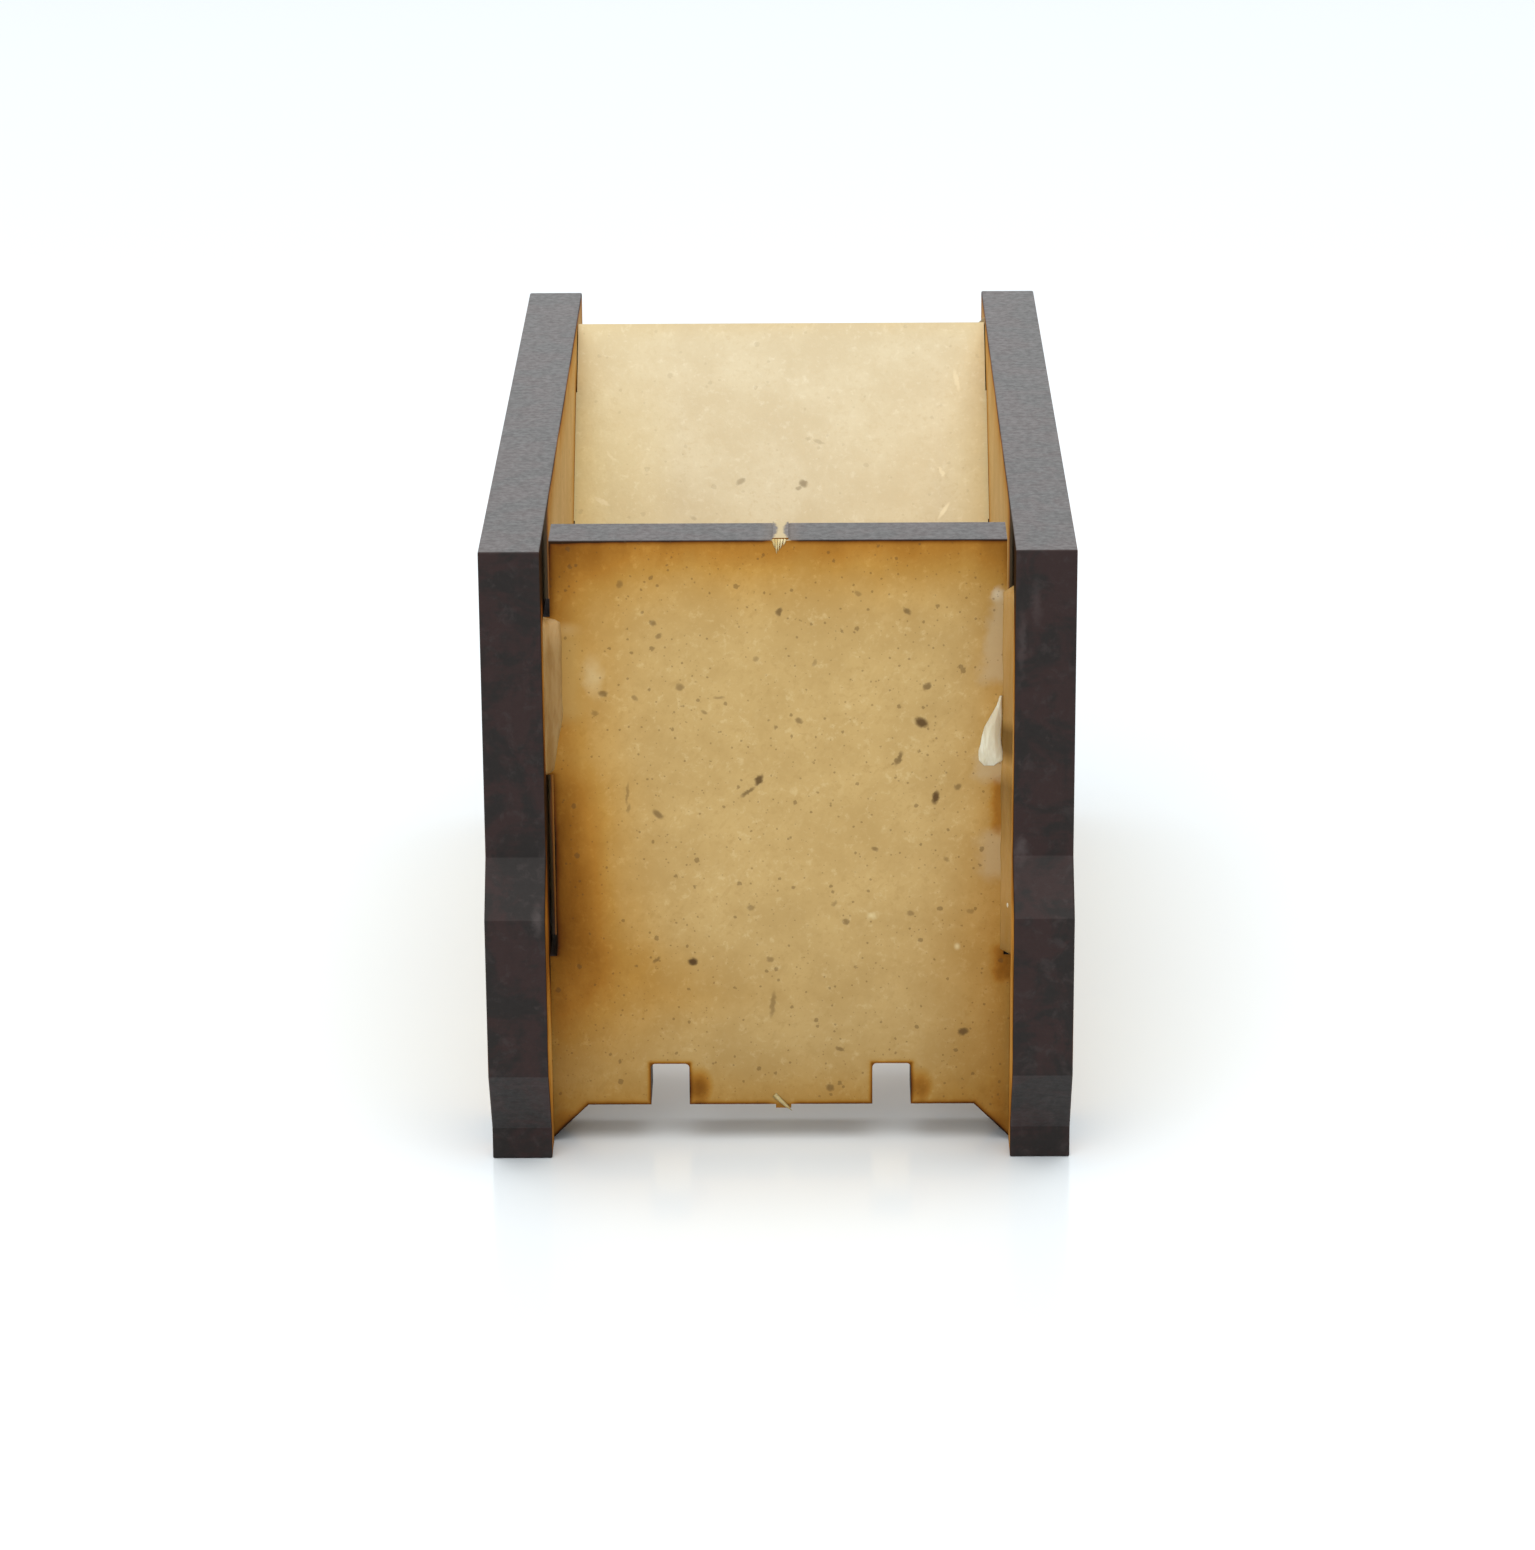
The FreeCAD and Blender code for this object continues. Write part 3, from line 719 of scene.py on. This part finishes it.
def glue_finish(name, dull, clear, tones=None):
    """Dried wood glue between two colours; tones are (height, brightness) where it changes with height."""
    g = Graph(name)
    streaks = g.noise(2.6, 3.0, 0.6, 0.2, stretch=(1.0, 1.0, 0.16))
    colour = g.mix(g.fade(streaks, 0.35, 0.65), dull, clear)
    if tones:
        tone = g.profile(g.z, tones)
        warmer = g.join(tone, g.math("POWER", tone, 1.12), g.math("POWER", tone, 1.6))
        colour = g.mix(1.0, colour, warmer, "MULTIPLY")
    g.shader.inputs["Subsurface Weight"].default_value = 0.25
    g.shader.inputs["Subsurface Radius"].default_value = (0.9, 0.6, 0.35)
    g.shader.inputs["Subsurface Scale"].default_value = 0.3 * MM
    g.bump(g.noise(2.5, 2.0), 0.35, 0.06)
    return g.finish(colour, g.fade(g.noise(1.5, 2.0), 0.3, 0.7, 0.36, 0.50), 0.20)


# ---------------------------------------------------------------- carried-over CAD nodes

def dress(node, material):
    """Give a CAD node its material."""
    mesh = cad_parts[node].data
    mesh.materials.clear()
    mesh.materials.append(material)


dress("left_side_plate", plate_finish("mdf_left_plate", True))
dress("right_side_plate", plate_finish("mdf_right_plate", False))
dress("front_panel", panel_finish())
dress("chute_panel", chute_finish())

# ---------------------------------------------------------------- glue and fibres

# Brightness of the glue beside the panel: (height, share)
GLUE_LEFT_TONES = [(17.0, 0.72), (19.0, 0.86), (23.6, 0.92), (24.6, 1.22), (25.3, 1.25)]
GLUE_RIGHT_TONES = [
    (9.0, 0.60), (10.5, 0.74), (12.0, 0.86), (14.0, 0.80), (15.4, 0.68), (17.2, 0.50),
    (18.2, 0.92), (18.9, 0.40), (19.8, 0.36), (20.4, 0.78), (26.6, 0.98),
]
GLUE = glue_finish("dried_glue", (0.34, 0.185, 0.055), (0.42, 0.26, 0.095))
GLUE_LEFT = glue_finish("dried_glue_left", (0.32, 0.175, 0.05), (0.40, 0.245, 0.09), GLUE_LEFT_TONES)
GLUE_RIGHT = glue_finish("dried_glue_right", (0.42, 0.235, 0.065), (0.46, 0.27, 0.09), GLUE_RIGHT_TONES)
GLUE_WHITE = glue_finish("dried_glue_thick", (0.56, 0.49, 0.34), (0.69, 0.66, 0.52))
GLUE_WEDGE = glue_finish("dried_glue_wedge", (0.20, 0.13, 0.05), (0.30, 0.22, 0.10))
FIBRE = glue_finish("torn_fibre", (0.52, 0.36, 0.14), (0.66, 0.52, 0.27))
FIBRE_SHADED = glue_finish("torn_fibre_shaded", (0.36, 0.27, 0.11), (0.42, 0.34, 0.16))

# How far glue reaches into the wood behind it
SUNK = 0.03
DROP_SUNK = 0.02


def new_piece(name, points, faces, material, stands_for=None):
    """A mesh that rides the body, given in millimetres."""
    mesh = bpy.data.meshes.new(name)
    mesh.from_pydata([Vector(point) * MM for point in points], [], faces)
    mesh.validate()
    mesh.materials.append(material)
    work = bmesh.new()
    work.from_mesh(mesh)
    bmesh.ops.recalc_face_normals(work, faces=work.faces)
    work.to_mesh(mesh)
    work.free()
    for polygon in mesh.polygons:
        polygon.use_smooth = True
    piece = bpy.data.objects.new(name, mesh)
    bpy.context.scene.collection.objects.link(piece)
    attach(piece, "root")
    if stands_for:
        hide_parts(stands_for)
    return piece


def ring_skin(rings):
    """Points and faces of a closed tube through rings of equal length, with flat ends."""
    count = len(rings[0])
    points = [point for ring in rings for point in ring]
    faces = [tuple(range(count))]
    for row in range(len(rings) - 1):
        for at in range(count):
            after = (at + 1) % count
            a, b = row * count + at, row * count + after
            faces.append((a, b, b + count, a + count))
    last = (len(rings) - 1) * count
    faces.append(tuple(range(last + count - 1, last - 1, -1)))
    return points, faces


def bead(name, start, end, wall_a, wall_b, leg_a, leg_b, bulge, material, node,
         stations=60, arc=8, wander=0.45, taper_over=0.5):
    """Squeezed-out glue along an inner corner: its two legs wander, and its ends taper."""
    start, end = Vector(start), Vector(end)
    wall_a, wall_b = Vector(wall_a).normalized(), Vector(wall_b).normalized()
    length = (end - start).length
    rings = []
    for station in range(stations + 1):
        t = station / stations
        taper_place = min(t, 1 - t) * length
        taper = math.sqrt(max(0.0, min(1.0, taper_place / taper_over))) * 0.97 + 0.03
        corner = start.lerp(end, t)
        wander_a = 1 + wander * noise.noise(corner * 0.8 + Vector((3.1, 0, 0)))
        wander_b = 1 + wander * 0.8 * noise.noise(corner * 0.9 + Vector((0, 7.7, 0)))
        a = leg_a(t) * taper * wander_a
        b = leg_b(t) * taper * wander_b
        ring = [corner - wall_a * SUNK - wall_b * SUNK, corner + wall_a * a - wall_b * SUNK]
        for step in range(arc + 1):
            share = step / arc
            swell = bulge * 4 * share * (1 - share) * min(a, b)
            outward = (wall_a * b + wall_b * a).normalized()
            ring.append(corner + wall_a * (a * (1 - share)) + wall_b * (b * share) + outward * swell)
        ring.append(corner + wall_b * b - wall_a * SUNK)
        rings.append(ring)
    points, faces = ring_skin(rings)
    return new_piece(name, points, faces, material, node)


def sliver(name, route, width, thickness, material, seed):
    """A torn fibre: a flat strip along a route, pointed at its far end."""
    chance = random.Random(seed)
    rings = []
    count = len(route)
    for at, place in enumerate(route):
        share = at / (count - 1)
        taper = (1 - share) ** 0.6 * 0.9 + 0.1
        ahead = Vector(route[min(at + 1, count - 1)]) - Vector(route[max(at - 1, 0)])
        side = ahead.cross(Vector((0, 1, 0))).normalized() * width / 2 * taper * chance.uniform(0.85, 1.15)
        out = Vector((0, 1, 0)) * thickness / 2 * taper
        middle = Vector(place)
        rings.append([middle + side, middle + out, middle - side, middle - out])
    points, faces = ring_skin(rings)
    return new_piece(name, points, faces, material)


def dome(name, outline, height, steps):
    """White glue on the panel's face, height(x, z) thick wherever that is more than nothing."""
    (x_low, z_low), (x_high, z_high) = outline
    grid = {}
    points = []
    rows = range(steps + 1)
    for i in rows:
        for j in rows:
            x = x_low + (x_high - x_low) * i / steps
            z = z_low + (z_high - z_low) * j / steps
            raised = height(x, z)
            if raised > 0:
                grid[i, j] = len(points)
                points.append((x, PANEL_FACE - raised, z))
    faces = []
    for i, j in grid:
        corners = [(i, j), (i + 1, j), (i + 1, j + 1), (i, j + 1)]
        if all(corner in grid for corner in corners):
            faces.append(tuple(grid[corner] for corner in corners))
    count = len(points)
    points += [(x, PANEL_FACE + DROP_SUNK, z) for x, _, z in points]
    front = list(faces)
    sides = {}
    for face in front:
        faces.append(tuple(index + count for index in reversed(face)))
        for a, b in zip(face, face[1:] + face[:1]):
            sides[a, b] = True
    for a, b in sides:
        if (b, a) not in sides:
            faces.append((b, a, a + count, b + count))
    return new_piece(name, points, faces, GLUE_WHITE)


bead("glue_left_fillet", (-INNER, PANEL_FACE, UPPER_TAB_BOTTOM), (-INNER, PANEL_FACE, UPPER_TAB_TOP),
     RIGHT, FORWARD, lambda t: 0.34 + 0.44 * min(1.0, t / 0.4), lambda t: 0.46 + 0.16 * t, -0.10,
     GLUE_LEFT, "glue_front_left", wander=0.12, taper_over=0.25)
bead("glue_right_fillet", (INNER, PANEL_FACE, GLUE_RIGHT_LOW.z), (INNER, PANEL_FACE, GLUE_RIGHT_HIGH.z),
     -RIGHT, FORWARD, lambda t: 0.46, lambda t: 0.52, -0.08, GLUE_RIGHT, "glue_front_right",
     wander=0.15, taper_over=0.12)


def chute_bead(name, side, node):
    """Glue along the chute's underside, where it meets the plate on one side."""
    low, high = node_box(node)
    top_point = Vector((side * INNER, high.y, high.z))
    depth = (top_point - CHUTE_EDGE).dot(UNDER_CHUTE) - SHEET
    top_point -= UNDER_CHUTE * depth
    run = (high.z - low.z - 0.6) / DIAGONAL
    bead(name, top_point + DOWN_SLOPE * 0.4, top_point + DOWN_SLOPE * run, RIGHT * -side, UNDER_CHUTE,
         lambda t: 0.60, lambda t: 0.60, 0.05, GLUE, node, stations=120, wander=0.25)


chute_bead("glue_chute_left_run", -1, "glue_chute_left")
chute_bead("glue_chute_right_run", 1, "glue_chute_right")
wedge_top = Vector((INNER, CHUTE_EDGE.y, CHUTE_EDGE.z)) + UNDER_CHUTE * 0.1
bead("glue_chute_corner_wedge", wedge_top, wedge_top + UNDER_CHUTE * (SHEET - 0.3), -RIGHT, -DOWN_SLOPE,
     lambda t: 0.55, lambda t: 0.58 - 0.46 * abs(t - 0.22) / 0.78, -0.05, GLUE_WEDGE, "glue_chute_corner",
     wander=0.15, taper_over=0.2)


# Outline of the white drop: height, left edge, right edge
DROP = [
    (18.15, 9.15, 9.60), (18.4, 8.92, 9.98), (18.8, 8.88, 10.00), (19.2, 8.98, 9.92), (19.6, 9.05, 9.90),
    (20.0, 9.15, 9.92), (20.5, 9.42, 9.95), (21.0, 9.68, 9.93), (21.5, 9.84, 9.94),
]


def drop_height(x, z):
    """Thickness of the white drop: a narrow tip above, a wide foot below."""
    for (z0, left0, right0), (z1, left1, right1) in zip(DROP, DROP[1:]):
        if z0 <= z <= z1:
            share = (z - z0) / (z1 - z0)
            left = left0 + (left1 - left0) * share
            right = right0 + (right1 - right0) * share
            if left < x < right:
                rim = min(x - left, right - x, 0.8 * (z - DROP[0][0]), 0.8 * (DROP[-1][0] - z))
                sag = 0.35 + 0.65 * min(1.0, max(0.0, (z - 18.2) / 0.8))
                return 0.01 + 0.20 * sag * math.sqrt(min(1.0, rim / 0.3))
    return 0


dome("glue_white_drop", ((8.9, 17.9), (10.1, 21.45)), drop_height, 110)

# The white speck: middle and half size (across, height), thickness
SPECK_MIDDLE = (10.28, 11.6)
SPECK_HALF = (0.10, 0.27)
SPECK_THICKNESS = 0.35


def speck_height(x, z):
    """Thickness of the small white speck at the panel's right side."""
    reach = ((x - SPECK_MIDDLE[0]) / SPECK_HALF[0]) ** 2 + ((z - SPECK_MIDDLE[1]) / SPECK_HALF[1]) ** 2
    return SPECK_THICKNESS * math.sqrt(1 - reach) if reach < 1 else 0


dome("glue_white_speck", ((10.16, 11.3), (10.39, 11.9)), speck_height, 24)

# Tuft torn out of the panel's face at the upper nub: root across, tip across, tip below the top, width
TUFT = [
    (-0.20, -0.13, 0.34, 0.17),
    (-0.07, -0.05, 0.60, 0.19),
    (0.07, 0.01, 0.50, 0.18),
    (0.20, 0.11, 0.38, 0.17),
    (0.33, 0.24, 0.24, 0.16),
]
for count, (root, tip, drop, width) in enumerate(TUFT):
    route = [
        (root, PANEL_FACE + 0.25, PANEL_TOP + 0.03),
        (root, PANEL_FACE + 0.03, PANEL_TOP + 0.03),
        ((root + tip) / 2, PANEL_FACE - 0.05, PANEL_TOP - drop * 0.45),
        (tip, PANEL_FACE - 0.04, PANEL_TOP - drop),
    ]
    sliver(f"fibre_top_{count + 1}", route, width, 0.07, FIBRE, count)

# Single fibre hanging across the lower nub
FOOT_ROUTE = [
    (-0.30, PANEL_FACE - 0.02, 2.26),
    (-0.04, PANEL_FACE - 0.07, 2.03),
    (0.24, PANEL_FACE - 0.10, 1.76),
    (0.50, PANEL_FACE - 0.11, 1.52),
]
sliver("fibre_foot", FOOT_ROUTE, 0.26, 0.08, FIBRE_SHADED, 7)


# ---------------------------------------------------------------- floor, light and camera

FLOOR_HALF = 3.0               # metres
FLOOR_TONES = ((0.765, 0.812, 0.842), (0.78, 0.822, 0.848))
SKY_COLOUR = (0.965, 0.99, 1.0, 1.0)
SKY_STRENGTH = 0.85

CAMERA_LENS = 120.0
CAMERA_SENSOR = 36.0
CAMERA_RIGHT = 1.36            # millimetres from the object's middle
CAMERA_AHEAD = 215.8           # millimetres in front of the plates' front edge
CAMERA_HEIGHT = 94.45          # millimetres above the floor
CAMERA_PITCH = 19.40           # degrees downward
CAMERA_TURN = 0.494            # degrees to the left
CAMERA_ROLL = -0.387           # degrees


def make_floor():
    """Plain pale floor, which isn't part of the object."""
    mesh = bpy.data.meshes.new("floor")
    corners = [(-FLOOR_HALF, -FLOOR_HALF, 0), (FLOOR_HALF, -FLOOR_HALF, 0), (FLOOR_HALF, FLOOR_HALF, 0),
               (-FLOOR_HALF, FLOOR_HALF, 0)]
    mesh.from_pydata(corners, [], [(0, 1, 2, 3)])
    floor = bpy.data.objects.new("floor", mesh)
    bpy.context.scene.collection.objects.link(floor)
    g = Graph("floor_white")
    tone = g.mix(g.noise(0.004, 2.0), *FLOOR_TONES)
    mesh.materials.append(g.finish(tone, 0.15, 0.8))


def area_light(name, place, target, size, power, colour):
    """Softbox at a place in metres, turned to a target."""
    data = bpy.data.lights.new(name, "AREA")
    data.shape = "RECTANGLE"
    data.size, data.size_y = size
    data.energy = power
    data.color = colour
    light = bpy.data.objects.new(name, data)
    light.location = place
    light.rotation_mode = "QUATERNION"
    light.rotation_quaternion = (Vector(target) - Vector(place)).to_track_quat("-Z", "Y")
    bpy.context.scene.collection.objects.link(light)


def make_light():
    """Even pale surroundings with one softbox overhead and a weaker one at the front left."""
    world = bpy.data.worlds.new("studio")
    world.use_nodes = True
    background = world.node_tree.nodes["Background"]
    background.inputs["Color"].default_value = SKY_COLOUR
    background.inputs["Strength"].default_value = SKY_STRENGTH
    bpy.context.scene.world = world
    area_light("overhead_softbox", (0.0, -0.10, 0.60), (0, 0, 0), (0.6, 0.6), 3.0, (1.0, 0.995, 0.985))
    area_light("front_softbox", (-0.25, -0.60, 0.35), (0, 0, 0.015), (0.5, 0.4), 1.2, (1.0, 1.0, 1.0))


def make_camera():
    """Camera in front of the object, a little to its right, looking down at it."""
    data = bpy.data.cameras.new("camera")
    data.sensor_width = CAMERA_SENSOR
    data.lens = CAMERA_LENS
    data.clip_start = 0.01
    data.clip_end = 20.0
    camera = bpy.data.objects.new("camera", data)
    place = Vector((CAMERA_RIGHT, FRONT - CAMERA_AHEAD, CAMERA_HEIGHT))
    tilt = Matrix.Rotation(math.pi / 2 - math.radians(CAMERA_PITCH), 4, "X")
    turn = Matrix.Rotation(math.radians(CAMERA_TURN), 4, "Z") @ tilt
    roll = Matrix.Rotation(math.radians(CAMERA_ROLL), 4, "Z")
    camera.matrix_world = Matrix.Translation(place * MM) @ turn @ roll
    bpy.context.scene.collection.objects.link(camera)
    bpy.context.scene.camera = camera


make_floor()
make_light()
make_camera()
bpy.context.scene.view_settings.view_transform = "Standard"
